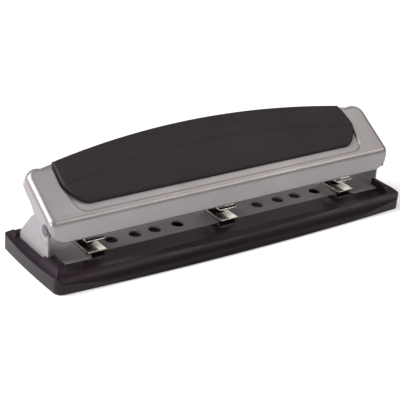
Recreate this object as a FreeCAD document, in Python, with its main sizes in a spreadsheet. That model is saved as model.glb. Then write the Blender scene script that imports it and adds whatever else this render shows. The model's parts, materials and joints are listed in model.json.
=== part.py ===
"""Desktop hole punch with three punch heads, two of them adjustable.

Frame: millimetres, +Z up, +X along the length, the paper goes in from -Y.
The origin is at the middle of the footprint, on the surface that the feet stand on.
"""
import FreeCAD, Part
import math
import os
import Sketcher
from FreeCAD import Placement, Rotation, Vector

DOC = FreeCAD.newDocument("hole_punch")

# Driving dimensions. Every name is a cell of the sheet, in millimetres or degrees.
DRIVING = {
    # base
    "foot_height": 0.8,
    "foot_radius": 7.0,
    "foot_x": 130.0,
    "foot_front_y": -24.0,
    "foot_rear_y": 30.0,
    "plate_top": 13.2,
    "plate_thick": 1.4,
    "base_corner_x": 147.8,
    "base_corner": 6.0,
    "base_rear_corner": 3.0,
    "base_end_bow": 1.2,
    "base_front_mid": 40.4,
    "base_front_end": 35.8,
    "base_rear": 40.4,
    "ledge_height": 0.4,
    "post_height": 2.6,
    "cavity_half": 132.0,
    "door_thick": 1.6,
    "door_gap": 0.4,
    # plate and ears
    "ear_outer_x": 142.4,
    "ear_gap": 0.35,
    "punch_y": -3.5,
    "plate_front_end": 20.3,
    "plate_front_mid": 15.0,
    "plate_rear": 30.0,
    "plate_step_x": 112.5,
    "chip_hole_dia": 9.1,
    "slide_slot_wide": 4.2,
    "slide_slot_y": 25.0,
    "drawer_half": 118.0,
    "drawer_top": 9.2,
    "drawer_wall": 1.4,
    "screw_radius": 1.8,
    "plate_screw_x": 126.0,
    "plate_screw_y": 21.5,
    # heads
    "head_pitch": 107.95,
    "head_wide": 14.0,
    "lip_thick": 2.8,
    "slot_high": 5.6,
    "arm_thick": 1.9,
    "head_front": 14.2,
    "throat_deep": 11.5,
    "boss_radius": 4.9,
    "boss_high": 3.9,
    "tongue_thick": 1.2,
    "tongue_half": 3.6,
    "slide_gap": 0.06,
    "nut_radius": 3.4,
    "nut_thick": 1.6,
    "pin_radius": 3.5,
    "pin_fit": 0.06,
    "pin_tip": 8.7,
    "pin_top": 26.62,
    "collar_radius": 5.2,
    "collar_thick": 1.3,
    "collar_high": 22.0,
    "spring_wire": 0.45,
    "spring_radius": 4.35,
    "spring_turns": 5,
    # handle
    "pivot_back": 9.0,
    "pivot_high": 23.7,
    "pivot_radius": 2.5,
    "hinge_fit": 0.05,
    "face_angle": 31.7,
    "face_ref_back": 12.65,
    "face_ref_high": 32.23,
    "handle_half": 145.0,
    "sheet_thick": 1.4,
    "channel_deep": 10.0,
    "arch_crown": 55.8,
    "arch_shoulder": 40.6,
    "recess_deep": 1.2,
    "lever_edge": 4.5,
    "skirt_corner": 15.0,
    "pad_front": 6.8,
    "pad_thick": 3.2,
    "liner_thick": 1.0,
    "bar_half": 118.0,
    "nose_radius": 2.0,
    "nose_up": 5.0,
    "rivet_head": 3.9,
    "washer_radius": 4.2,
    "washer_thick": 1.1,
}


def make_sheet():
    """Put the driving dimensions in a spreadsheet, one aliased cell each."""
    sheet = DOC.addObject("Spreadsheet::Sheet", "Dimensions")
    for row, (name, value) in enumerate(DRIVING.items(), start=1):
        sheet.set("A%d" % row, name)
        sheet.set("B%d" % row, str(value))
        sheet.setAlias("B%d" % row, name)
    DOC.recompute()
    return sheet


SHEET = make_sheet()


def size(name):
    """The value of one driving dimension."""
    return float(getattr(SHEET, name))


def cell(name):
    """The expression text that names one driving dimension."""
    return "Dimensions.%s" % name


# ---------------------------------------------------------------- frame helpers

PUNCH_Y = size("punch_y")
PLATE_TOP = size("plate_top")
FACE_TURN = math.radians(size("face_angle"))
ALONG = Vector(0, math.cos(FACE_TURN), math.sin(FACE_TURN))
OUTWARD = Vector(0, -math.sin(FACE_TURN), math.cos(FACE_TURN))


def from_axis(x, back, high):
    """A point given from the middle punch axis at the plate's top face."""
    return Vector(x, PUNCH_Y + back, PLATE_TOP + high)


FACE_REF = from_axis(0, -size("face_ref_back"), size("face_ref_high"))
PIVOT = from_axis(0, -size("pivot_back"), size("pivot_high"))


def on_face(x, up, out):
    """A point given in the handle face's own directions: across, up the slope, outward."""
    return FACE_REF + Vector(x, 0, 0) + ALONG * up + OUTWARD * out


def prism(points, sweep):
    """The solid that a closed polygon sweeps out."""
    wire = Part.makePolygon(points + [points[0]])
    return Part.Face(wire).extrude(sweep)


def side_prism(outline, half):
    """Sweep a (back, high) outline along X, from -half to +half."""
    points = [from_axis(-half, back, high) for back, high in outline]
    return prism(points, Vector(2 * half, 0, 0))


def box(low, high):
    """A box between two corners."""
    span = [high[axis] - low[axis] for axis in range(3)]
    return Part.makeBox(span[0], span[1], span[2], Vector(*low))


def edges_where(shape, test):
    """The straight or curved edges whose middle point and tangent pass the test."""
    found = []
    for edge in shape.Edges:
        if edge.Length < 0.05:
            continue
        middle = 0.5 * (edge.FirstParameter + edge.LastParameter)
        if test(edge.valueAt(middle), edge.tangentAt(middle), edge):
            found.append(edge)
    return found


def feature(label, shape, place=None):
    """A sub-part whose shape is made directly."""
    item = DOC.addObject("Part::Feature", label)
    item.Label = label
    item.Shape = shape
    if place is not None:
        item.Placement = place
    return item


def new_body(label):
    """An empty body with its label."""
    body = DOC.addObject("PartDesign::Body", label)
    body.Label = label
    return body


def sketch_on(body, role, name):
    """A sketch on one of the body's own origin planes."""
    plane = [item for item in body.Origin.OriginFeatures if item.Role == role][0]
    sketch = body.newObject("Sketcher::SketchObject", name)
    sketch.AttachmentSupport = [(plane, "")]
    sketch.MapMode = "FlatFace"
    return sketch


def add_loop(sketch, points):
    """Closed loop of straight lines; returns the indices of the lines."""
    lines = []
    for index, (start_x, start_y) in enumerate(points):
        end_x, end_y = points[(index + 1) % len(points)]
        line = Part.LineSegment(Vector(start_x, start_y, 0), Vector(end_x, end_y, 0))
        lines.append(sketch.addGeometry(line, False))
    for index, line in enumerate(lines):
        following = lines[(index + 1) % len(lines)]
        sketch.addConstraint(Sketcher.Constraint("Coincident", line, 2, following, 1))
    return lines


def add_circle(sketch, centre_x, centre_y, radius_cell):
    """Circle whose radius follows a cell or an expression."""
    circle = sketch.addGeometry(Part.Circle(Vector(centre_x, centre_y, 0), Vector(0, 0, 1), 1.0), False)
    sketch.addConstraint(Sketcher.Constraint("DistanceX", -1, 1, circle, 3, centre_x))
    sketch.addConstraint(Sketcher.Constraint("DistanceY", -1, 1, circle, 3, centre_y))
    radius = sketch.addConstraint(Sketcher.Constraint("Radius", circle, 1.0))
    sketch.setExpression("Constraints[%d]" % radius, radius_cell)
    return circle


def pad(body, sketch, name, length, both_ways=False):
    """Pad of a sketch; the length is an expression."""
    item = body.newObject("PartDesign::Pad", name)
    item.Profile = sketch
    item.setExpression("Length", length)
    item.Midplane = both_ways
    return item


def revolve(body, sketch, name, axis):
    """Full turn of a sketch about one of its own axes."""
    item = body.newObject("PartDesign::Revolution", name)
    item.Profile = sketch
    item.ReferenceAxis = (sketch, [axis])
    item.Angle = 360.0
    return item


def pocket(body, sketch, name):
    """Cut a sketch right through the body, both ways; the body must lose volume."""
    before = body.Shape.Volume
    item = body.newObject("PartDesign::Pocket", name)
    item.Profile = sketch
    item.Type = "ThroughAll"
    item.Midplane = True
    DOC.recompute()
    if body.Shape.Volume > before - 0.5:
        raise RuntimeError("pocket %s cut nothing" % name)
    return item


def shift_sketch(sketch, distance):
    """Move a sketch along its plane's normal."""
    sketch.AttachmentOffset = Placement(Vector(0, 0, distance), Rotation())


def axis_place(x):
    """Placement of a piece drawn about a punch axis, at the plate's top face."""
    return Placement(from_axis(x, 0, 0), Rotation())


def primitive(kind, name, place, **cells):
    """A Part primitive with its sizes bound to expressions."""
    item = DOC.addObject(kind, name)
    for prop, expression in cells.items():
        item.setExpression(prop, expression)
    item.Placement = place
    return item


def group(label, items):
    """Identical pieces kept as separate solids under one name."""
    bundle = DOC.addObject("Part::Compound", label)
    bundle.Label = label
    bundle.Links = items
    return bundle


def ring(label, outer_cell, inner_cell, height_cell, place):
    """A flat ring: one cylinder cut from another."""
    outer = primitive("Part::Cylinder", label + "_outer", place, Radius=outer_cell, Height=height_cell)
    inner = primitive("Part::Cylinder", label + "_inner", place, Radius=inner_cell, Height=height_cell)
    cut = DOC.addObject("Part::Cut", label)
    cut.Label = label
    cut.Base = outer
    cut.Tool = inner
    return cut


# ---------------------------------------------------------------- base

def base_outline(inset, bottom):
    """Closed plan outline of the base: bowed front, bowed ends, straight rear."""
    corner = size("base_corner_x") - inset
    bow = size("base_end_bow")
    rear = size("base_rear") - inset
    front_end = -size("base_front_end") + inset
    front_mid = -size("base_front_mid") + inset
    front = Part.Arc(Vector(-corner, front_end, bottom), Vector(0, front_mid, bottom),
                     Vector(corner, front_end, bottom))
    right = Part.Arc(Vector(corner, front_end, bottom), Vector(corner + bow, 0, bottom),
                     Vector(corner, rear, bottom))
    back = Part.LineSegment(Vector(corner, rear, bottom), Vector(-corner, rear, bottom))
    left = Part.Arc(Vector(-corner, rear, bottom), Vector(-corner - bow, 0, bottom),
                    Vector(-corner, front_end, bottom))
    return Part.Wire([piece.toShape() for piece in (front, right, back, left)])


END_FRONT_LOW = (-34.6, -11.5)
END_FRONT_MID = (-31.0, -2.6)
END_CREST = (-21.0, 3.9)
FOLD = (-25.0, -1.0)
CAP_INNER_X = 137.4
POST_FRONT = 33.0


def above_end_profile():
    """Everything above the caps' profile: quarter-round front, crest, ledge, post, leaning rear."""
    far = 170.0
    top = 30.0
    start = from_axis(-far, -60, END_FRONT_LOW[1])
    low = from_axis(-far, *END_FRONT_LOW)
    crest = from_axis(-far, *END_CREST)
    edges = [Part.LineSegment(start, low).toShape()]
    edges.append(Part.Arc(low, from_axis(-far, *END_FRONT_MID), crest).toShape())
    ledge = size("ledge_height")
    post = size("post_height")
    rest = [(-9.0, 4.5), (-6.0, 4.3), (-4.6, ledge), (POST_FRONT - 2.0, ledge), (POST_FRONT, post),
            (38.6, post), (41.8, 0.2), (44.2, -4.2), (60.0, -4.2), (60.0, top), (-60.0, top)]
    corners = [crest] + [from_axis(-far, back, high) for back, high in rest] + [start]
    for first, second in zip(corners[:-1], corners[1:]):
        edges.append(Part.LineSegment(first, second).toShape())
    return Part.Face(Part.Wire(edges)).extrude(Vector(2 * far, 0, 0))


# (x, high) start, middle and end of the arc down each cap's outer side
SHOULDER = [(136.0, 4.6), (144.6, 2.0), (149.3, -3.6)]


def outside_shoulder(side):
    """Waste above a cap's shoulder: its top falls outward in an arc and meets the end wall."""
    start = -60.0
    run = 120.0
    far = 160.0
    top = 30.0
    first, middle, last = [from_axis(side * x, start, high) for x, high in SHOULDER]
    far_low = from_axis(side * far, start, SHOULDER[2][1])
    far_high = from_axis(side * far, start, top)
    near_high = from_axis(side * SHOULDER[0][0], start, top)
    edges = [Part.Arc(first, middle, last).toShape()]
    corners = [last, far_low, far_high, near_high, first]
    for begin, end in zip(corners[:-1], corners[1:]):
        edges.append(Part.LineSegment(begin, end).toShape())
    return Part.Face(Part.Wire(edges)).extrude(Vector(0, run, 0))


def above_front_bar():
    """Everything above the front bar: nearly level band, then a band down to a bowed ridge."""
    level = side_prism([(-7.0, 0.0), (-11.5, 0.0), FOLD, (FOLD[0], 20.0), (-7.0, 20.0)], CAP_INNER_X)
    fold = Part.LineSegment(from_axis(-CAP_INNER_X, *FOLD), from_axis(CAP_INNER_X, *FOLD))
    ridge = Part.Arc(from_axis(-CAP_INNER_X, -45, 6.2), from_axis(0, -45, -6.7),
                     from_axis(CAP_INNER_X, -45, 6.2))
    band = Part.makeRuledSurface(fold.toShape(), ridge.toShape())
    return level.fuse(band.extrude(Vector(0, 0, 30)))


def plate_outline():
    """Plan corners of the nickel plate between the ears, from the left rear round to the right."""
    half = size("ear_outer_x")
    step = size("plate_step_x")
    wide_front = -size("plate_front_end")
    mid_front = -size("plate_front_mid")
    ear_front = -12.1
    rear = size("plate_rear") - 3.5
    right = [(step - 1.5, mid_front), (step + 1.5, wide_front), (CAP_INNER_X - 0.4, wide_front),
             (CAP_INNER_X - 0.4, ear_front), (half, ear_front), (half, rear)]
    left = [(-x, back) for x, back in reversed(right)]
    return right + left


def make_base_shell():
    """Black base: bowed outline, end caps with ledge and hump, drawer bay open at the rear."""
    bottom = size("foot_height")
    outline = Part.Face(base_outline(0.0, bottom))
    block = outline.extrude(Vector(0, 0, PLATE_TOP + 8.0 - bottom))
    front = edges_where(block, lambda at, along, edge: abs(along.z) > 0.99 and at.y < 0)
    block = block.makeFillet(size("base_corner"), front)
    rear = edges_where(block, lambda at, along, edge: abs(along.z) > 0.99 and at.y > size("base_rear") - 0.1)
    block = block.makeFillet(size("base_rear_corner"), rear)
    block = block.cut(above_end_profile())
    for side in (-1, 1):
        block = block.cut(outside_shoulder(side))
    block = block.cut(above_front_bar())
    seat = size("plate_thick")
    corners = [Vector(x, back, PLATE_TOP - seat) for x, back in plate_outline()]
    block = block.cut(prism(corners, Vector(0, 0, 30)))
    ear = size("ear_outer_x") + size("ear_gap")
    block = block.cut(box((-ear, PUNCH_Y - 9.2, PLATE_TOP - seat), (ear, PUNCH_Y + 31.0, PLATE_TOP + 30)))
    block = block.cut(box((-CAP_INNER_X, PUNCH_Y - 11.5, PLATE_TOP), (CAP_INNER_X, PUNCH_Y, PLATE_TOP + 30)))
    block = block.cut(box((-ear, PUNCH_Y - 9.2, PLATE_TOP), (ear, PUNCH_Y + 50, PLATE_TOP + 30)))
    half = size("cavity_half")
    floor = bottom + size("door_thick")
    block = block.cut(box((-half, PUNCH_Y - 9.0, floor), (half, size("plate_rear") - 4.5, PLATE_TOP)))
    bay = size("drawer_half") + size("door_gap")
    bay_top = size("drawer_top") + size("door_gap")
    block = block.cut(box((-bay, 0.0, floor), (bay, 60.0, bay_top)))
    for x, back in screw_places():
        post = Part.makeCylinder(3.6, PLATE_TOP - seat - floor + 0.2, Vector(x, back, floor - 0.2))
        block = block.fuse(post)
        block = block.cut(Part.makeCylinder(1.5, 6.0, Vector(x, back, PLATE_TOP - seat - 6.0)))
    return feature("base_shell", block.removeSplitter())


def screw_places():
    """Where the plate is screwed to the posts of the base, outside the drawer."""
    return [(x, size("plate_screw_y")) for x in (-size("plate_screw_x"), size("plate_screw_x"))]


def make_feet():
    """Four rubber feet, round pads under the corners."""
    feet = []
    for x in (-size("foot_x"), size("foot_x")):
        for y in (size("foot_front_y"), size("foot_rear_y")):
            place = Placement(Vector(x, y, 0), Rotation())
            feet.append(primitive("Part::Cylinder", "foot", place, Radius=cell("foot_radius"),
                                  Height=cell("foot_height")))
    return group("rubber_feet", feet)


def make_drawer():
    """Chip drawer: open-topped tray whose rear wall closes the bay."""
    half = size("drawer_half")
    bottom = size("foot_height") + size("door_thick") + size("door_gap")
    front = PUNCH_Y - 8.0
    rear = size("base_rear")
    top = size("drawer_top")
    wall = size("drawer_wall")
    outer = box((-half, front, bottom), (half, rear, top))
    inner = box((-half + wall, front + wall, bottom + wall), (half - wall, rear - wall, top + 5))
    tray = outer.cut(inner)
    grip = Part.makeCylinder(9.0, 6.0, Vector(0, rear + 7.6, bottom - 1.0))
    return feature("chip_drawer", tray.cut(grip))


# ---------------------------------------------------------------- plate

def make_plate():
    """Nickel plate: chip holes, two slots for the sliding heads, and an upright ear each end."""
    body = new_body("base_plate")
    sketch = sketch_on(body, "XY_Plane", "plate_outline")
    add_loop(sketch, plate_outline())
    pad(body, sketch, "plate_pad", cell("plate_thick"))
    holes = sketch_on(body, "XY_Plane", "chip_holes")
    pitch = size("head_pitch")
    for x in (0.0, 34.925, 53.975, 69.85, 88.9, pitch):
        for side in ((-1, 1) if x else (1,)):
            add_circle(holes, side * x, PUNCH_Y, cell("chip_hole_dia") + " / 2")
    DOC.recompute()
    pocket(body, holes, "chip_hole_pocket")
    slots = sketch_on(body, "XY_Plane", "slide_slots")
    half = size("slide_slot_wide") / 2
    middle = PUNCH_Y + size("slide_slot_y")
    for side in (-1, 1):
        near = side * 32.0
        far = side * (pitch + 2.9)
        low, high = middle - half, middle + half
        add_loop(slots, [(near, low), (far, low), (far, high), (near, high)])
    add_circle(slots, 0.0, middle, cell("screw_radius"))
    for x, back in screw_places():
        add_circle(slots, x, back, "1.5")
    pocket(body, slots, "slide_slot_pocket")
    body.Placement = Placement(Vector(0, 0, PLATE_TOP - size("plate_thick")), Rotation())
    return body


EAR_OUTLINE = [(-8.6, -1.4), (30.0, -1.4), (30.0, 5.6), (14.5, 23.6), (12.1, 25.0), (9.0, 25.3)]


def make_ears(plate):
    """Both ears: upright sheets with a round lobe forward of them for the pivot."""
    thick = size("plate_thick")
    pieces = []
    for side in (-1, 1):
        inner = side * (size("ear_outer_x") - thick)
        outline = EAR_OUTLINE + [(-9.0, 27.9), (-8.6, 19.5)]
        sheet = prism([from_axis(inner, *point) for point in outline], Vector(side * thick, 0, 0))
        lobe = Part.makeCylinder(4.3, thick, Vector(inner, PIVOT.y, PIVOT.z), Vector(side, 0, 0))
        start = Vector(inner - side, PIVOT.y, PIVOT.z)
        hole = Part.makeCylinder(size("pivot_radius"), 4.0 * thick, start, Vector(side, 0, 0))
        pieces.append(sheet.fuse(lobe).cut(hole))
    return pieces


# ---------------------------------------------------------------- heads

def make_bracket(label, x, lift):
    """C-shaped head: lower lip with the die hole, riser, upper arm with a guide boss."""
    body = new_body(label)
    sketch = sketch_on(body, "YZ_Plane", label + "_profile")
    low = size("lip_thick")
    arm = low + size("slot_high") + 0.1
    arm_top = arm + size("arm_thick")
    throat = size("throat_deep")
    back = throat + 2.3
    front = -size("head_front")
    add_loop(sketch, [(front, 1.5), (front, low), (throat, low), (throat, arm), (-10.9, arm),
                      (-11.1, arm + 0.9), (-9.3, arm + 1.7), (-7.0, arm_top), (back, arm_top),
                      (back, 0.0), (-10.6, 0.0), (-11.6, 1.5)])
    pad(body, sketch, label + "_pad", cell("head_wide"), both_ways=True)
    boss = sketch_on(body, "XY_Plane", label + "_boss")
    shift_sketch(boss, arm)
    add_circle(boss, 0.0, 0.0, cell("boss_radius"))
    pad(body, boss, label + "_boss_pad", cell("boss_high"))
    tongue = sketch_on(body, "XY_Plane", label + "_tongue")
    half = size("tongue_half")
    tongue_end = size("slide_slot_y") + 3.4
    add_loop(tongue, [(-half, 6.0), (half, 6.0), (half, tongue_end), (-half, tongue_end)])
    pad(body, tongue, label + "_tongue_pad", cell("tongue_thick"))
    DOC.recompute()
    guide = sketch_on(body, "XY_Plane", label + "_guide")
    add_circle(guide, 0.0, 0.0, cell("pin_radius") + " + " + cell("pin_fit"))
    add_circle(guide, 0.0, size("slide_slot_y"), cell("screw_radius"))
    pocket(body, guide, label + "_guide_pocket")
    body.Placement = Placement(from_axis(x, 0, lift), Rotation())
    return body


def make_pin(label, x):
    """Hollow-ground punch pin: revolved half-section with a cupped tip and a rounded head."""
    body = new_body(label)
    sketch = sketch_on(body, "XZ_Plane", label + "_section")
    radius = size("pin_radius")
    tip = size("pin_tip")
    top = size("pin_top")
    add_loop(sketch, [(0.0, tip + 1.2), (radius, tip), (radius, top - 0.5), (radius - 0.5, top), (0.0, top)])
    revolve(body, sketch, label + "_turn", "V_Axis")
    body.Placement = Placement(from_axis(x, 0, 0), Rotation())
    return body


def make_spring_turns(label, first, last, count, radius, wire):
    """A coil spring as its separate turns, evenly spaced from the first turn's centre to the last's."""
    turns = []
    for number in range(count):
        centre = first + (last - first) * (number / (count - 1))
        turns.append(Part.makeTorus(radius, wire, centre, last - first))
    return feature(label, Part.makeCompound(turns))


def make_pin_spring(label, x):
    """Return spring round a pin, between the guide boss and the collar."""
    wire = size("spring_wire")
    gap = 0.2
    low = size("lip_thick") + size("slot_high") + size("boss_high") + wire + gap
    high = size("collar_high") - wire - gap
    return make_spring_turns(label, from_axis(x, 0, low), from_axis(x, 0, high), int(size("spring_turns")),
                             size("spring_radius"), wire)


# ---------------------------------------------------------------- lever

def arch(x, low):
    """Height up the face of the bowed top edge, low by the given inset."""
    crown = size("arch_crown")
    drop = (crown - size("arch_shoulder")) * (x / 136.0) ** 2
    return crown - drop - low


def face_outline(inset, out):
    """The lever's outline on its face: bowed top, rounded shoulders, straight sides."""
    half = size("handle_half") - inset
    shoulder = 132.0 - inset * 0.4
    left_top = on_face(-shoulder, arch(shoulder, inset), out)
    right_top = on_face(shoulder, arch(shoulder, inset), out)
    top = Part.Arc(left_top, on_face(0, arch(0, inset), out), right_top)
    bend_x = half - 2.4
    bend_up = 39.2 - inset * 0.9
    right_bend = Part.Arc(right_top, on_face(bend_x, bend_up, out), on_face(half, 34.5 - inset, out))
    left_bend = Part.Arc(on_face(-half, 34.5 - inset, out), on_face(-bend_x, bend_up, out), left_top)
    low = -30.0
    corners = [on_face(half, 34.5 - inset, out), on_face(half, low, out), on_face(-half, low, out),
               on_face(-half, 34.5 - inset, out)]
    lines = [Part.LineSegment(first, second) for first, second in zip(corners[:-1], corners[1:])]
    pieces = [top, right_bend] + lines + [left_bend]
    return Part.Face(Part.Wire([piece.toShape() for piece in pieces]))


CHEEK_REAR = [(20.4, 41.2), (17.3, 38.3), (12.9, 35.9), (9.7, 32.9), (7.4, 29.6), (-0.2, 24.3), (-2.6, 16.8),
              (-4.6, 15.4)]


def lever_block():
    """The lever as if it were solid: face, round nose, skirt, and the cheeks' rear edge."""
    half = size("handle_half")
    left = -half
    top = on_face(left, 62.0, 0.0)
    rear_low = on_face(left, 62.0, -size("channel_deep"))
    face_low = on_face(left, 1.0, 0.0)
    skirt_low = from_axis(left, -15.5, 14.9)
    skirt_top = from_axis(left, -15.8, 26.9)
    nose = from_axis(left, -14.85, 30.35)
    edges = [Part.LineSegment(skirt_low, skirt_top).toShape()]
    edges.append(Part.Arc(skirt_top, nose, face_low).toShape())
    corners = [face_low, top, rear_low] + [from_axis(left, *point) for point in CHEEK_REAR] + [skirt_low]
    corners.insert(-1, from_axis(left, -12.0, 14.9))
    for first, second in zip(corners[:-1], corners[1:]):
        edges.append(Part.LineSegment(first, second).toShape())
    return Part.Face(Part.Wire(edges)).extrude(Vector(2 * half, 0, 0))


def recess_outline(grow, out):
    """Recess in the lever face: straight front, round front corners, open through the top edge."""
    wide = 125.4 + grow
    front = 0.8 - grow
    corner = 113.5
    bend = 122.4 + grow
    right = Part.Arc(on_face(corner, front, out), on_face(bend - 2.6, front + 2.6, out),
                     on_face(bend, front + 8.5, out))
    left = Part.Arc(on_face(-bend, front + 8.5, out), on_face(2.6 - bend, front + 2.6, out),
                    on_face(-corner, front, out))
    corners = [on_face(bend, front + 8.5, out), on_face(wide, 24.0, out), on_face(wide - 0.6, 70.0, out),
               on_face(0.6 - wide, 70.0, out), on_face(-wide, 24.0, out), on_face(-bend, front + 8.5, out)]
    lines = [Part.LineSegment(first, second) for first, second in zip(corners[:-1], corners[1:])]
    base = Part.LineSegment(on_face(-corner, front, out), on_face(corner, front, out))
    return Part.Face(Part.Wire([piece.toShape() for piece in [base, right] + lines + [left]]))


def make_lever():
    """Sheet-steel lever: sloping face with a recess, rolled nose, skirt, rim and two cheeks."""
    sheet = size("sheet_thick")
    outer = lever_block().common(face_outline(0.0, 6.0).extrude(OUTWARD * -90.0))
    half = size("handle_half")
    skirt = [from_axis(-half, -15.5 + sheet, 5.0), from_axis(-half, -15.8 + sheet, 26.9),
             from_axis(-half, -14.85 + 0.8 * sheet, 30.35 - 0.8 * sheet), on_face(-half, 2.0, -sheet)]
    below = [on_face(-half, 75.0, -sheet), on_face(-half, 75.0, -80.0), from_axis(-half, 60.0, 5.0)]
    inner = prism(skirt + below, Vector(2 * half, 0, 0))
    inner = inner.common(face_outline(sheet, 6.0).extrude(OUTWARD * -120.0))
    inner = inner.makeChamfer(0.4 * size("lever_edge"), edges_where(inner, is_hollow_rim))
    deep = size("recess_deep")
    inner = inner.cut(recess_outline(sheet, 1.0).extrude(OUTWARD * -(1.0 + deep + sheet)))
    shell = outer.cut(inner)
    shell = shell.makeFillet(size("lever_edge"), edges_where(shell, is_lever_rim))
    for side in (-1, 1):
        shell = shell.cut(skirt_corner(side, size("skirt_corner")))
    shell = shell.cut(recess_outline(0.0, 8.0).extrude(OUTWARD * -(8.0 + deep)))
    for side in (-1, 1):
        start = Vector(side * (half - 4), PIVOT.y, PIVOT.z)
        hole = Part.makeCylinder(size("pivot_radius") + size("hinge_fit"), 8, start, Vector(side, 0, 0))
        shell = shell.cut(hole)
    return feature("handle_shell", shell)


def is_hollow_rim(at, along, edge):
    """Edges of the hollow under the lever face, along its sides and bowed rim."""
    reach = at - FACE_REF
    under_face = abs(reach.dot(OUTWARD) + size("sheet_thick")) < 0.05
    side = abs(abs(at.x) - size("handle_half") + size("sheet_thick")) < 0.2
    return under_face and (side or reach.dot(ALONG) > 33.0)


def is_lever_rim(at, along, edge):
    """Edges between the lever's outer skin (face, nose, skirt) and its sides or bowed rim."""
    reach = at - FACE_REF
    out = reach.dot(OUTWARD)
    up = reach.dot(ALONG)
    side = abs(abs(at.x) - size("handle_half")) < 0.2
    on_skin = abs(out) < 0.05 and up > 0.5
    on_nose = side and up < 2.0 and at.y < PUNCH_Y - 13.2 and abs(along.z) > 0.3
    return on_skin and (side or up > 33.0) or on_nose


def skirt_corner(side, radius):
    """The waste outside the rounded lower corner of the skirt."""
    overrun = 0.4
    near = size("handle_half") - radius + overrun
    low = from_axis(0, 0, 14.9 - overrun).z
    centre_high = low + radius
    x_low, x_high = sorted((side * near, side * (near + radius + 2.0)))
    waste = box((x_low, PUNCH_Y - 20.0, low - 2.0), (x_high, PUNCH_Y - 12.2, centre_high))
    keep = Part.makeCylinder(radius, 20.0, Vector(side * near, PUNCH_Y - 25.0, centre_high), Vector(0, 1, 0))
    return waste.cut(keep)


def make_grip():
    """Grip pad: one soft slab in the recess, its top edge following the lever's bow."""
    floor = -size("recess_deep")
    low = size("pad_front")
    top_gap = 0.5
    shoulder = 122.6
    side = [(111.0, low), (116.2, low + 2.6), (121.4, 16.0), (124.2, 22.0), (124.6, 28.0), (123.4, 40.0)]
    top_right = on_face(shoulder, arch(shoulder, top_gap), floor)
    top_left = on_face(-shoulder, arch(shoulder, top_gap), floor)
    bow = Part.Arc(top_left, on_face(0, arch(0, top_gap), floor), top_right)
    right = [on_face(x, up, floor) for x, up in side] + [top_right]
    left = [on_face(-x, up, floor) for x, up in side] + [top_left]
    lines = [(left[0], right[0])] + list(zip(right[:-1], right[1:])) + list(zip(left[:-1], left[1:]))
    pieces = [Part.LineSegment(first, second).toShape() for first, second in lines] + [bow.toShape()]
    slab = Part.Face(Part.Wire(Part.sortEdges(pieces)[0])).extrude(OUTWARD * size("pad_thick"))
    return feature("grip_pad", slab)


def make_liner():
    """Stiffening strip welded under the lever face; it carries the press bar."""
    half = size("bar_half")
    start = -size("recess_deep") - size("sheet_thick")
    thick = size("liner_thick")
    points = [on_face(-half, 6.0, start), on_face(-half, 27.0, start),
              on_face(-half, 27.0, start - thick), on_face(-half, 6.0, start - thick)]
    return feature("handle_liner", prism(points, Vector(2 * half, 0, 0)))


def face_high(back, out):
    """Height above the plate of the plane that lies out from the lever face, at a place back."""
    rise = (back + size("face_ref_back")) * math.tan(FACE_TURN)
    return size("face_ref_high") + rise + out / math.cos(FACE_TURN)


def make_press_bar():
    """Press bar: a web with a half-round nose that rolls over the tops of all the pins."""
    body = new_body("press_bar")
    sketch = sketch_on(body, "YZ_Plane", "press_bar_section")
    out = -size("recess_deep") - size("sheet_thick") - size("liner_thick")
    nose_high = size("pivot_high") + size("nose_up")
    radius = size("nose_radius")
    left = Vector(-radius, nose_high, 0)
    right = Vector(radius, nose_high, 0)
    bottom = Vector(0, nose_high - radius, 0)
    lines = [Part.Arc(left, bottom, right)]
    top_right = Vector(radius, face_high(radius, out), 0)
    top_left = Vector(-radius, face_high(-radius, out), 0)
    for first, second in ((right, top_right), (top_right, top_left), (top_left, left)):
        lines.append(Part.LineSegment(first, second))
    for line in lines:
        sketch.addGeometry(line, False)
    pad(body, sketch, "press_bar_pad", "2 * " + cell("bar_half"), both_ways=True)
    body.Placement = axis_place(0)
    return body


def make_rivet(label, side):
    """Pivot rivet: domed head outside the cheek, shank through cheek and ear, peened collar inside."""
    body = new_body(label)
    sketch = sketch_on(body, "XZ_Plane", label + "_section")
    radius = size("pivot_radius")
    outer = size("handle_half") + 0.1
    inner = size("ear_outer_x") - size("plate_thick")
    head = size("rivet_head")
    add_loop(sketch, [(inner - 5.0, 0.0), (outer + 1.3, 0.0), (outer + 1.1, 0.6 * head), (outer + 0.5, head),
                      (outer, head), (outer, radius), (inner, radius), (inner, 3.4), (inner - 1.2, 3.4),
                      (inner - 1.2, radius - 0.4), (inner - 5.0, radius - 0.4)])
    revolve(body, sketch, label + "_turn", "H_Axis")
    turn = Rotation(Vector(0, 0, 1), 0 if side > 0 else 180)
    body.Placement = Placement(Vector(0, PIVOT.y, PIVOT.z), turn)
    return body


def make_screw(label, x, back, high, head_radius, head_tall, shank, length):
    """Pan-head screw pointing down, its head standing on the given height."""
    body = new_body(label)
    sketch = sketch_on(body, "XZ_Plane", label + "_section")
    add_loop(sketch, [(0.0, -length), (shank, -length), (shank, 0.0), (head_radius, 0.0),
                      (head_radius, 0.6 * head_tall), (0.8 * head_radius, head_tall), (1.0, head_tall),
                      (0.9, 0.4 * head_tall), (0.0, 0.4 * head_tall)])
    revolve(body, sketch, label + "_turn", "V_Axis")
    body.Placement = Placement(from_axis(x, back, high), Rotation())
    return body


# ---------------------------------------------------------------- assembly

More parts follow.
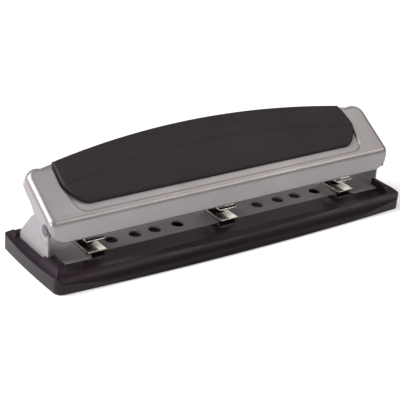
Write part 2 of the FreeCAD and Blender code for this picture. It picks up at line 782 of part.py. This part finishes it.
def build():
    """Make every sub-part; returns them in a list."""
    parts = [make_base_shell(), make_feet(), make_drawer()]
    plate = make_plate()
    DOC.recompute()
    whole_plate = plate.Shape
    for ear in make_ears(plate):
        whole_plate = whole_plate.fuse(ear)
    plate.Label = "plate_flat"
    parts.append(feature("base_plate", whole_plate.removeSplitter()))
    plate_screws = [make_screw("plate_screw_%d" % number, x, back - PUNCH_Y, 0.0, 2.6, 1.4, 1.5, 5.5)
                    for number, (x, back) in enumerate(screw_places(), start=1)]
    parts.append(group("plate_screws", plate_screws))
    pitch = size("head_pitch")
    slot_back = size("slide_slot_y")
    plate_under = -size("plate_thick")
    for name, x in (("left", -pitch), ("middle", 0.0), ("right", pitch)):
        lift = 0.0 if name == "middle" else size("slide_gap")
        parts.append(make_bracket("%s_head_bracket" % name, x, lift))
        parts.append(make_pin("%s_punch_pin" % name, x))
        collar = ring("%s_pin_collar" % name, cell("collar_radius"), cell("pin_radius"), cell("collar_thick"),
                      Placement(from_axis(x, 0, size("collar_high")), Rotation()))
        parts.append(collar)
        parts.append(make_pin_spring("%s_pin_spring" % name, x))
        tongue_top = size("tongue_thick") + lift
        parts.append(make_screw("%s_clamp_screw" % name, x, slot_back, tongue_top, 3.2, 1.8,
                                size("screw_radius"), 4.0 + lift))
        nut_low = plate_under - size("slide_gap") - size("nut_thick")
        nut_place = Placement(from_axis(x, slot_back, nut_low), Rotation())
        parts.append(ring("%s_clamp_nut" % name, cell("nut_radius"), cell("screw_radius"),
                          cell("nut_thick"), nut_place))
    parts += [make_lever(), make_grip(), make_liner(), make_press_bar()]
    for name, side in (("left", -1), ("right", 1)):
        parts.append(make_rivet("%s_pivot_rivet" % name, side))
        inner = size("ear_outer_x")
        outward = Rotation(Vector(0, 0, 1), Vector(side, 0, 0))
        washer_place = Placement(Vector(side * inner, PIVOT.y, PIVOT.z), outward)
        parts.append(ring("%s_pivot_washer" % name, cell("washer_radius"), cell("pivot_radius"),
                          cell("washer_thick"), washer_place))
        reach = inner - size("plate_thick") - 1.9
        first = Vector(side * (reach - 2.4), PIVOT.y, PIVOT.z)
        last = Vector(side * reach, PIVOT.y, PIVOT.z)
        parts.append(make_spring_turns("%s_lever_spring" % name, first, last, 3, 3.2, 0.4))
    DOC.recompute()
    return parts


def write_parts(parts):
    """Check every object and sub-part, then write one STEP file for each sub-part."""
    for item in DOC.Objects:
        if "Invalid" in item.State or "Error" in item.State:
            raise RuntimeError("%s failed: %s" % (item.Label, item.State))
    os.makedirs("parts", exist_ok=True)
    for part in parts:
        shape = part.Shape
        if shape.isNull() or not shape.isValid():
            raise RuntimeError("%s has no valid shape" % part.Label)
        shape.exportStep("parts/%s.step" % part.Label)
        print(part.Label, len(shape.Solids), round(shape.Volume))


write_parts(build())
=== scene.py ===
import json
import math
import bpy
import bmesh
from mathutils import Matrix, Vector


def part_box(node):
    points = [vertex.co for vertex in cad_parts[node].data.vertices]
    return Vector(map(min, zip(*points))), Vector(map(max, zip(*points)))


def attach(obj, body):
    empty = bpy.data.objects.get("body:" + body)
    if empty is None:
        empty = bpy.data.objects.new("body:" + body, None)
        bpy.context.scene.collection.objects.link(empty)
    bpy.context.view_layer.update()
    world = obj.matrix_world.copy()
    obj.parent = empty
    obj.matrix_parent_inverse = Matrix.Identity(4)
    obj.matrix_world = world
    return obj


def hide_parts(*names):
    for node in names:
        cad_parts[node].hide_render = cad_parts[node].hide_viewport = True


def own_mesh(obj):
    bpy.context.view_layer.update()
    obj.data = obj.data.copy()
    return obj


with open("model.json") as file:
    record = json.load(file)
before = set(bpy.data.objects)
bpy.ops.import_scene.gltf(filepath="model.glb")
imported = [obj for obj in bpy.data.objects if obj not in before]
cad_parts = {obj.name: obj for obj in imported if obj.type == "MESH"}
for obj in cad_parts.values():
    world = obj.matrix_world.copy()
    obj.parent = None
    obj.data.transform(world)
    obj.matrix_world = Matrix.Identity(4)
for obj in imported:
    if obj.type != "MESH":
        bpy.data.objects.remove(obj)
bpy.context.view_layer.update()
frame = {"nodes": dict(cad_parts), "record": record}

MM = 0.001
NODES = frame["nodes"]

# ---------------------------------------------------------------- places, all from the frame

PIN_LOW, PIN_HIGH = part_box("middle_punch_pin")
BRACKET_LOW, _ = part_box("middle_head_bracket")
PUNCH_Y = 0.5 * (PIN_LOW[1] + PIN_HIGH[1])
PLATE_TOP = BRACKET_LOW[2]

# The lever face at rest: a plane turned about X, through FACE_REF, which is given from the point
# where the middle punch axis meets the top of the plate.
FACE_TURN = math.radians(31.7)
FACE_BACK = -12.65 * MM
FACE_HIGH = 32.23 * MM
ALONG = Vector((0, math.cos(FACE_TURN), math.sin(FACE_TURN)))
OUTWARD = Vector((0, -math.sin(FACE_TURN), math.cos(FACE_TURN)))
FACE_REF = Vector((0, PUNCH_Y + FACE_BACK, PLATE_TOP + FACE_HIGH))
RECESS_FLOOR = -1.2      # how far outward from the face the pad's recess lies, in millimetres


def on_face(x, up, out):
    """A point given in millimetres along the lever face: across, up the slope, outward."""
    return FACE_REF + Vector((x, 0, 0)) * MM + ALONG * (up * MM) + OUTWARD * (out * MM)


# ---------------------------------------------------------------- camera, light, floor

def make_camera():
    """Camera at the reference viewing angle: from the front left, above, with a slight roll."""
    azimuth = math.radians(-36.40)
    elevation = math.radians(25.42)
    roll = math.radians(4.54)
    distance = 923.15 * MM
    shift_right = 12.97 * MM
    shift_up = -9.98 * MM
    sensor_width = 36.0
    focal_length = 116.04
    back = Vector((math.sin(azimuth) * math.cos(elevation),
                   -math.cos(azimuth) * math.cos(elevation),
                   math.sin(elevation)))
    level = Vector((math.cos(azimuth), math.sin(azimuth), 0))
    rise = back.cross(level)
    right = level * math.cos(roll) + rise * math.sin(roll)
    upward = rise * math.cos(roll) - level * math.sin(roll)
    target = Vector((0, PUNCH_Y, PLATE_TOP))
    place = target - right * shift_right - upward * shift_up + back * distance
    data = bpy.data.cameras.new("camera")
    data.sensor_width = sensor_width
    data.lens = focal_length
    camera = bpy.data.objects.new("camera", data)
    bpy.context.collection.objects.link(camera)
    turn = Matrix((right, upward, back)).transposed().to_4x4()
    camera.matrix_world = Matrix.Translation(place) @ turn
    bpy.context.scene.camera = camera


LIGHT_AIM = (0, 0, 0.03)
# Name, place in metres, width and height in metres, power in watts, colour.
LIGHTS = [
    ("key_light", (-0.85, 0.45, 1.15), 1.1, 1.1, 33.0, (1.0, 0.97, 1.0)),
    ("top_light", (0.62, -0.10, 1.0), 0.7, 0.55, 2.4, (1.0, 0.97, 0.95)),
    ("front_light", (0.9, -1.0, 0.90), 1.0, 0.35, 5.6, (1.0, 0.96, 0.92)),
    ("side_light", (-1.1, -0.35, 0.40), 0.5, 0.5, 7.0, (0.95, 0.90, 1.0)),
    ("back_light", (0.60, 0.80, 0.50), 0.6, 0.3, 0.6, (1.0, 0.97, 0.93)),
]
WORLD_COLOR = (1.0, 0.98, 0.99)
WORLD_STRENGTH = 0.09
FLOOR_REACH = 3.0
FLOOR_COLOR = (0.6, 0.6, 0.6)
FLOOR_ROUGHNESS = 0.9
FLOOR_GLOW = 0.45        # keeps the floor pale where the lights fall off


def area_light(name, place, width, height, power, color):
    """A soft rectangular light that points at the object."""
    data = bpy.data.lights.new(name, "AREA")
    data.shape = "RECTANGLE"
    data.size = width
    data.size_y = height
    data.energy = power
    data.color = color
    light = bpy.data.objects.new(name, data)
    bpy.context.collection.objects.link(light)
    light.location = place
    light.rotation_euler = (Vector(place) - Vector(LIGHT_AIM)).to_track_quat("Z", "Y").to_euler()


def make_studio():
    """Pale floor, dim even surroundings, one large softbox and four smaller fill lights."""
    bpy.context.scene.view_settings.view_transform = "Standard"
    world = bpy.data.worlds.new("studio")
    bpy.context.scene.world = world
    world.use_nodes = True
    background = world.node_tree.nodes["Background"]
    background.inputs["Color"].default_value = (*WORLD_COLOR, 1.0)
    background.inputs["Strength"].default_value = WORLD_STRENGTH
    for light in LIGHTS:
        area_light(*light)
    floor_mesh = bpy.data.meshes.new("floor")
    corners = [(-FLOOR_REACH, -FLOOR_REACH, 0), (FLOOR_REACH, -FLOOR_REACH, 0),
               (FLOOR_REACH, FLOOR_REACH, 0), (-FLOOR_REACH, FLOOR_REACH, 0)]
    floor_mesh.from_pydata(corners, [], [(0, 1, 2, 3)])
    floor = bpy.data.objects.new("floor", floor_mesh)
    bpy.context.collection.objects.link(floor)
    white = plain_material("floor_white", FLOOR_COLOR, FLOOR_ROUGHNESS)
    shader = white.node_tree.nodes["Principled BSDF"]
    shader.inputs["Emission Color"].default_value = (1.0, 1.0, 1.0, 1.0)
    shader.inputs["Emission Strength"].default_value = FLOOR_GLOW
    floor_mesh.materials.append(white)


# ---------------------------------------------------------------- materials

# Noise in object space, as (scale, detail): slow colour drift, finger smudges in the gloss.
DRIFT = (18.0, 4.0)
SMUDGE = (55.0, 6.0)
GRAIN_DETAIL = 3.0
BEVEL_SAMPLES = 8
CORNER_SAMPLES = 16
CORNER_RANGE = (0.35, 0.95)      # how open a place is where the painted shade is darkest, and where it ends


def plain_material(name, color, roughness):
    """A Principled material with one colour and roughness."""
    material = bpy.data.materials.new(name)
    material.use_nodes = True
    shader = material.node_tree.nodes["Principled BSDF"]
    shader.inputs["Base Color"].default_value = (*color, 1.0)
    shader.inputs["Roughness"].default_value = roughness
    return material


def noise(tree, scale, detail, stretch=None):
    """A noise texture in object space; stretch scales the three directions."""
    coords = tree.nodes.new("ShaderNodeTexCoord")
    texture = tree.nodes.new("ShaderNodeTexNoise")
    texture.inputs["Scale"].default_value = scale
    texture.inputs["Detail"].default_value = detail
    if stretch is None:
        tree.links.new(coords.outputs["Object"], texture.inputs["Vector"])
    else:
        mapping = tree.nodes.new("ShaderNodeMapping")
        mapping.inputs["Scale"].default_value = stretch
        tree.links.new(coords.outputs["Object"], mapping.inputs["Vector"])
        tree.links.new(mapping.outputs["Vector"], texture.inputs["Vector"])
    return texture.outputs["Fac"]


def ramp(tree, source, low, high, low_at=0.35, high_at=0.65):
    """Turns a value between low_at and high_at into a colour between low and high."""
    node = tree.nodes.new("ShaderNodeValToRGB")
    node.color_ramp.elements[0].position = low_at
    node.color_ramp.elements[0].color = (*low, 1.0)
    node.color_ramp.elements[1].position = high_at
    node.color_ramp.elements[1].color = (*high, 1.0)
    tree.links.new(source, node.inputs["Fac"])
    return node.outputs["Color"]


def spread(tree, source, low, high, low_at=0.3, high_at=0.7):
    """Turns a value between low_at and high_at into one between low and high."""
    node = tree.nodes.new("ShaderNodeMapRange")
    node.inputs["From Min"].default_value = low_at
    node.inputs["From Max"].default_value = high_at
    node.inputs["To Min"].default_value = low
    node.inputs["To Max"].default_value = high
    tree.links.new(source, node.inputs["Value"])
    return node.outputs["Result"]


def add_bump(tree, shader, sources, round_edges=0.0):
    """Bump from (height, strength, distance in mm) sources, over softly rounded edges."""
    normal = None
    if round_edges:
        bevel = tree.nodes.new("ShaderNodeBevel")
        bevel.samples = BEVEL_SAMPLES
        bevel.inputs["Radius"].default_value = round_edges * MM
        normal = bevel.outputs["Normal"]
    for height, strength, distance in sources:
        bump = tree.nodes.new("ShaderNodeBump")
        bump.inputs["Strength"].default_value = strength
        bump.inputs["Distance"].default_value = distance * MM
        tree.links.new(height, bump.inputs["Height"])
        if normal is not None:
            tree.links.new(normal, bump.inputs["Normal"])
        normal = bump.outputs["Normal"]
    tree.links.new(normal, shader.inputs["Normal"])


def shade_corners(tree, color, reach, darkest):
    """Paints shade into a colour: darker where another surface stands within reach millimetres, as
    in a corner.
    """
    hidden = tree.nodes.new("ShaderNodeAmbientOcclusion")
    hidden.samples = CORNER_SAMPLES
    hidden.inputs["Distance"].default_value = reach * MM
    lightness = spread(tree, hidden.outputs["AO"], darkest, 1.0, *CORNER_RANGE)
    scaled = tree.nodes.new("ShaderNodeVectorMath")
    scaled.operation = "SCALE"
    tree.links.new(color, scaled.inputs[0])
    tree.links.new(lightness, scaled.inputs["Scale"])
    return scaled.outputs["Vector"]


def worn_and_shaded_material(name, low, high, rough, metallic, grain, edge=0.0, specular=0.5, corners=None,
                  tint=(1.0, 1.0, 1.0)):
    """Colour that drifts between low and high, darkened by painted shade in inner corners, with
    uneven roughness and a fine surface grain.

    rough is the (lowest, highest) roughness; grain is the (scale, strength, distance in mm,
    stretch) of the bump; edge is how far edges look rounded, in mm; corners is the (reach in mm,
    darkest share) of the painted shade in inner corners; tint colours the gloss.
    """
    material = plain_material(name, low, rough[0])
    tree = material.node_tree
    shader = tree.nodes["Principled BSDF"]
    shader.inputs["Metallic"].default_value = metallic
    shader.inputs["Specular IOR Level"].default_value = specular
    shader.inputs["Specular Tint"].default_value = (*tint, 1.0)
    drift = noise(tree, *DRIFT)
    color = ramp(tree, drift, low, high)
    # painted shade: the colour is darkened in inner corners, where shade would fall
    if corners is not None:
        color = shade_corners(tree, color, *corners)
    tree.links.new(color, shader.inputs["Base Color"])
    smudge = noise(tree, *SMUDGE)
    tree.links.new(spread(tree, smudge, rough[0], rough[1]), shader.inputs["Roughness"])
    scale, strength, distance, stretch = grain
    fine = noise(tree, scale, GRAIN_DETAIL, stretch)
    add_bump(tree, shader, [(fine, strength, distance)], edge)
    return material


def make_materials():
    """Every finish on the object, by the record's slot names."""
    finishes = {
        "black_plastic": dict(low=(0.0078, 0.0042, 0.0064), high=(0.0105, 0.0062, 0.0090),
                              rough=(0.28, 0.38), metallic=0.0, grain=(2600.0, 0.18, 0.05, None),
                              edge=0.8, specular=0.22, tint=(1.0, 0.86, 0.95)),
        "black_rubber": dict(low=(0.012, 0.012, 0.012), high=(0.02, 0.02, 0.02),
                             rough=(0.8, 0.95), metallic=0.0, grain=(1800.0, 0.4, 0.1, None)),
        "grip_rubber": dict(low=(0.0165, 0.0132, 0.0145), high=(0.021, 0.017, 0.0185),
                            rough=(0.50, 0.60), metallic=0.0, grain=(2200.0, 0.3, 0.06, None),
                            specular=0.22, tint=(1.0, 0.86, 0.93)),
        # silver_paint: its corners entry paints shade into the colour within 4 mm of another
        # surface, darker round the pad's recess
        "silver_paint": dict(low=(0.285, 0.265, 0.265), high=(0.32, 0.30, 0.30),
                             rough=(0.33, 0.39), metallic=0.60, grain=(3000.0, 0.12, 0.03, None),
                             edge=1.6, corners=(4.0, 0.5)),
        "nickel_sheet": dict(low=(0.24, 0.23, 0.235), high=(0.29, 0.275, 0.28),
                             rough=(0.50, 0.58), metallic=0.35,
                             grain=(900.0, 0.1, 0.02, (1.0, 14.0, 14.0)), edge=0.3),
        # bright_nickel: its corners entry paints deep shade into the colour within 9 mm of another
        # surface, darkening the paper slots under the heads' upper arms
        "bright_nickel": dict(low=(0.86, 0.80, 0.73), high=(0.92, 0.87, 0.80),
                              rough=(0.14, 0.20), metallic=1.0, grain=(1400.0, 0.05, 0.01, None),
                              edge=0.9, corners=(9.0, 0.05)),
        "rivet_steel": dict(low=(0.11, 0.10, 0.11), high=(0.16, 0.145, 0.16),
                            rough=(0.3, 0.42), metallic=0.9, grain=(900.0, 0.1, 0.02, None),
                            edge=0.3),
        "steel": dict(low=(0.50, 0.49, 0.47), high=(0.60, 0.58, 0.56),
                      rough=(0.25, 0.36), metallic=1.0,
                      grain=(1200.0, 0.08, 0.02, (1.0, 1.0, 10.0)), edge=0.2),
    }
    return {name: worn_and_shaded_material(name, **finish) for name, finish in finishes.items()}


def dress_frame(materials):
    """Gives every CAD node the finish of its slot."""
    for part in frame["record"]["subparts"]:
        node = NODES[part["node"]]
        material = materials[part["material_slot"]]
        if not node.material_slots:
            node.data.materials.append(material)
        for place in node.material_slots:
            place.material = material


# ---------------------------------------------------------------- grip pad

# Millimetres on the lever face, as on_face takes them: across from the middle, up, outward.
# The lever's bowed top edge and the pad's bowed crease: up at the middle, up at END_X.
ARCH_MIDDLE, ARCH_END, ARCH_END_X = 55.8, 40.6, 136.0
CREASE_MIDDLE, CREASE_END, CREASE_END_X = 34.3, 21.0, 124.0

# The pad's lower edge, the gap above it, and its outline as (up, half width).
PAD_FRONT = 6.8
PAD_TOP_GAP = 0.5
PAD_SIDES = [(6.8, 111.0), (9.4, 116.2), (16.0, 121.4), (22.0, 124.2), (28.0, 124.6),
             (40.0, 123.4), (60.0, 122.0)]

# How far out the skin stands along the crease and at the two edges, and how its facets bulge.
PAD_CREST = 3.0
PAD_FRONT_LIP = 0.8
PAD_TOP_LIP = 0.7
FRONT_BULGE = 0.9
TOP_BULGE = 1.25
BORDER_RADIUS = 1.6

# The groove that is pressed along the crease, and the shallow oval hollow above it.
GROOVE_DEPTH = 0.38
GROOVE_WIDTH = 0.45
OVAL_X, OVAL_UP = 9.0, 45.3
OVAL_HALF_LENGTH, OVAL_HALF_HEIGHT = 32.0, 5.6
OVAL_DEPTH = 0.75

# The skin's grid: even steps across, up the lower facet and up the upper one, each with the rough
# length in mm that they divide, between the fine steps beside each border.
EDGE_STEPS = [0.0, 0.12, 0.35, 0.7, 1.2, 2.0]
ACROSS_STEPS, ACROSS_LENGTH = 110, 250.0
LOWER_STEPS, LOWER_LENGTH = 14, 22.0
UPPER_STEPS, UPPER_LENGTH = 16, 20.0
OUTLINE_PASSES = 6
FOOT_GAP = 0.02          # between the pad's underside and the floor of the recess


def arch(x):
    """How far up the face the lever's bowed top edge lies."""
    return ARCH_MIDDLE - (ARCH_MIDDLE - ARCH_END) * (x / ARCH_END_X) ** 2


def crease(x):
    """How far up the face the pad's crease lies."""
    return CREASE_MIDDLE - (CREASE_MIDDLE - CREASE_END) * (x / CREASE_END_X) ** 2


def pad_half_width(up):
    """Half the pad's width at a place up the face."""
    for (low, low_half), (high, high_half) in zip(PAD_SIDES[:-1], PAD_SIDES[1:]):
        if up <= high:
            return low_half + (high_half - low_half) * (up - low) / (high - low)
    return PAD_SIDES[-1][1]


def graded(count, length):
    """Places from 0 to 1 along a length in mm: EDGE_STEPS from each end, even steps between."""
    ends = [step / length for step in EDGE_STEPS]
    inner = [ends[-1] + (1 - 2 * ends[-1]) * number / count for number in range(1, count)]
    return ends + inner + [1 - step for step in reversed(ends)]


def pad_height(x, up, top, border):
    """How far out the pad's skin stands: two facets that meet at the crease, a rolled border."""
    fold = crease(x)
    if up < fold:
        share = (up - PAD_FRONT) / (fold - PAD_FRONT)
        bulge = math.sin(0.5 * math.pi * share) ** FRONT_BULGE
        out = PAD_FRONT_LIP + (PAD_CREST - PAD_FRONT_LIP) * bulge
    else:
        share = (up - fold) / (top - fold)
        out = PAD_CREST + (PAD_TOP_LIP - PAD_CREST) * share ** TOP_BULGE
    groove = math.exp(-((up - fold) / GROOVE_WIDTH) ** 2)
    out -= GROOVE_DEPTH * groove
    oval = ((x - OVAL_X) / OVAL_HALF_LENGTH) ** 2 + ((up - OVAL_UP) / OVAL_HALF_HEIGHT) ** 2
    if oval < 1.0:
        out -= OVAL_DEPTH * (1.0 - oval ** 3)
    if border < BORDER_RADIUS:
        inward = BORDER_RADIUS - border
        out -= BORDER_RADIUS - math.sqrt(max(BORDER_RADIUS ** 2 - inward ** 2, 0.0))
    return out


def pad_point(across, v_low, v_high):
    """Point of the pad's skin: across runs -1 to 1, v_low and v_high run 0 to 1 up each facet.

    The width depends on the height and the height on the width, so a few passes settle both.
    """
    up = PAD_FRONT
    for _ in range(OUTLINE_PASSES):
        x = across * pad_half_width(up)
        top = arch(x) - PAD_TOP_GAP
        fold = crease(x)
        up = PAD_FRONT + v_low * (fold - PAD_FRONT) + v_high * (top - fold)
    half = pad_half_width(up)
    border = min(up - PAD_FRONT, top - up, half - abs(x))
    return x, up, pad_height(x, up, top, max(border, 0.0))


def make_grip(materials):
    """Moulded grip pad: facets, crease, oval hollow and rolled border, in the lever's recess."""
    columns = [2 * place - 1 for place in graded(ACROSS_STEPS, ACROSS_LENGTH)]
    rows = [(place, 0.0) for place in graded(LOWER_STEPS, LOWER_LENGTH)]
    rows += [(1.0, place) for place in graded(UPPER_STEPS, UPPER_LENGTH)[1:]]
    mesh = bmesh.new()
    skin = [[mesh.verts.new(on_face(*pad_point(across, *row))) for across in columns]
            for row in rows]
    for low, high in zip(skin[:-1], skin[1:]):
        for index in range(len(columns) - 1):
            mesh.faces.new((low[index], low[index + 1], high[index + 1], high[index]))
    rim = (skin[0] + [row[-1] for row in skin[1:]] + skin[-1][-2::-1]
           + [row[0] for row in skin[-2:0:-1]])
    foot = []
    for vertex in rim:
        drop = (vertex.co - FACE_REF).dot(OUTWARD) - (RECESS_FLOOR + FOOT_GAP) * MM
        foot.append(mesh.verts.new(vertex.co - OUTWARD * drop))
    for index, vertex in enumerate(rim):
        following = (index + 1) % len(rim)
        mesh.faces.new((vertex, foot[index], foot[following], rim[following]))
    mesh.faces.new(list(reversed(foot)))
    bmesh.ops.recalc_face_normals(mesh, faces=mesh.faces)
    data = bpy.data.meshes.new("grip_pad_moulded")
    mesh.to_mesh(data)
    mesh.free()
    for face in data.polygons:
        face.use_smooth = True
    pad = bpy.data.objects.new("grip_pad_moulded", data)
    bpy.context.collection.objects.link(pad)
    data.materials.append(materials["grip_rubber"])
    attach(pad, "handle")
    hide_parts("grip_pad")


# ---------------------------------------------------------------- springs

# Wire radius, number of turns, and how much of a turn lies close at each end.
PIN_COIL = (0.45 * MM, 5.5, 0.75)
LEVER_COIL = (0.4 * MM, 3.25, 0.5)
STEPS_PER_TURN = 20


def coil(name, start, end, radius, wire, turns, flat_ends, material):
    """A wire coil from start to end; its first and last turns lie close, as on a ground spring."""
    axis = (end - start).normalized()
    side = axis.orthogonal().normalized()
    other = axis.cross(side)
    length = (end - start).length
    steps = int(turns * STEPS_PER_TURN)
    path = bpy.data.curves.new(name, "CURVE")
    path.dimensions = "3D"
    path.bevel_depth = wire
    path.bevel_resolution = 4
    path.use_fill_caps = True
    line = path.splines.new("POLY")
    line.points.add(steps)
    for step in range(steps + 1):
        turn = turns * step / steps
        from_end = min(turn, turns - turn)
        share = step / steps
        if from_end < flat_ends:
            pull = (1 - from_end / flat_ends) ** 2
            share += (0.0 if turn < turns / 2 else 1.0) * pull - share * pull
        angle = 2 * math.pi * turn
        spoke = side * math.cos(angle) + other * math.sin(angle)
        place = start + axis * (length * share) + spoke * radius
        line.points[step].co = (*place, 1.0)
    curve = bpy.data.objects.new(name + "_path", path)
    mesh = bpy.data.meshes.new_from_object(curve)
    bpy.data.objects.remove(curve)
    mesh.materials.clear()
    mesh.materials.append(material)
    for face in mesh.polygons:
        face.use_smooth = True
    spring = bpy.data.objects.new(name, mesh)
    bpy.context.collection.objects.link(spring)
    return spring


def make_springs(materials):
    """Coils in place of the plain turns: one round each pin, one round each pivot."""
    wire, turns, flat_ends = PIN_COIL
    for name in ("left", "middle", "right"):
        low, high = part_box(name + "_pin_spring")
        centre = 0.5 * (Vector(low) + Vector(high))
        start = Vector((centre.x, centre.y, low[2] + wire))
        end = Vector((centre.x, centre.y, high[2] - wire))
        radius = 0.5 * (high[0] - low[0]) - wire
        spring = coil(name + "_pin_coil", start, end, radius, wire, turns, flat_ends,
                      materials["steel"])
        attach(spring, "base" if name == "middle" else name + "_head")
        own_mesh(spring)
        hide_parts(name + "_pin_spring")
    wire, turns, flat_ends = LEVER_COIL
    for name in ("left", "right"):
        low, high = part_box(name + "_lever_spring")
        centre = 0.5 * (Vector(low) + Vector(high))
        start = Vector((low[0] + wire, centre.y, centre.z))
        end = Vector((high[0] - wire, centre.y, centre.z))
        radius = 0.5 * (high[2] - low[2]) - wire
        spring = coil(name + "_lever_coil", start, end, radius, wire, turns, flat_ends,
                      materials["steel"])
        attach(spring, "base")
        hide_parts(name + "_lever_spring")


make_camera()
make_studio()
MATERIALS = make_materials()
dress_frame(MATERIALS)
make_grip(MATERIALS)
make_springs(MATERIALS)
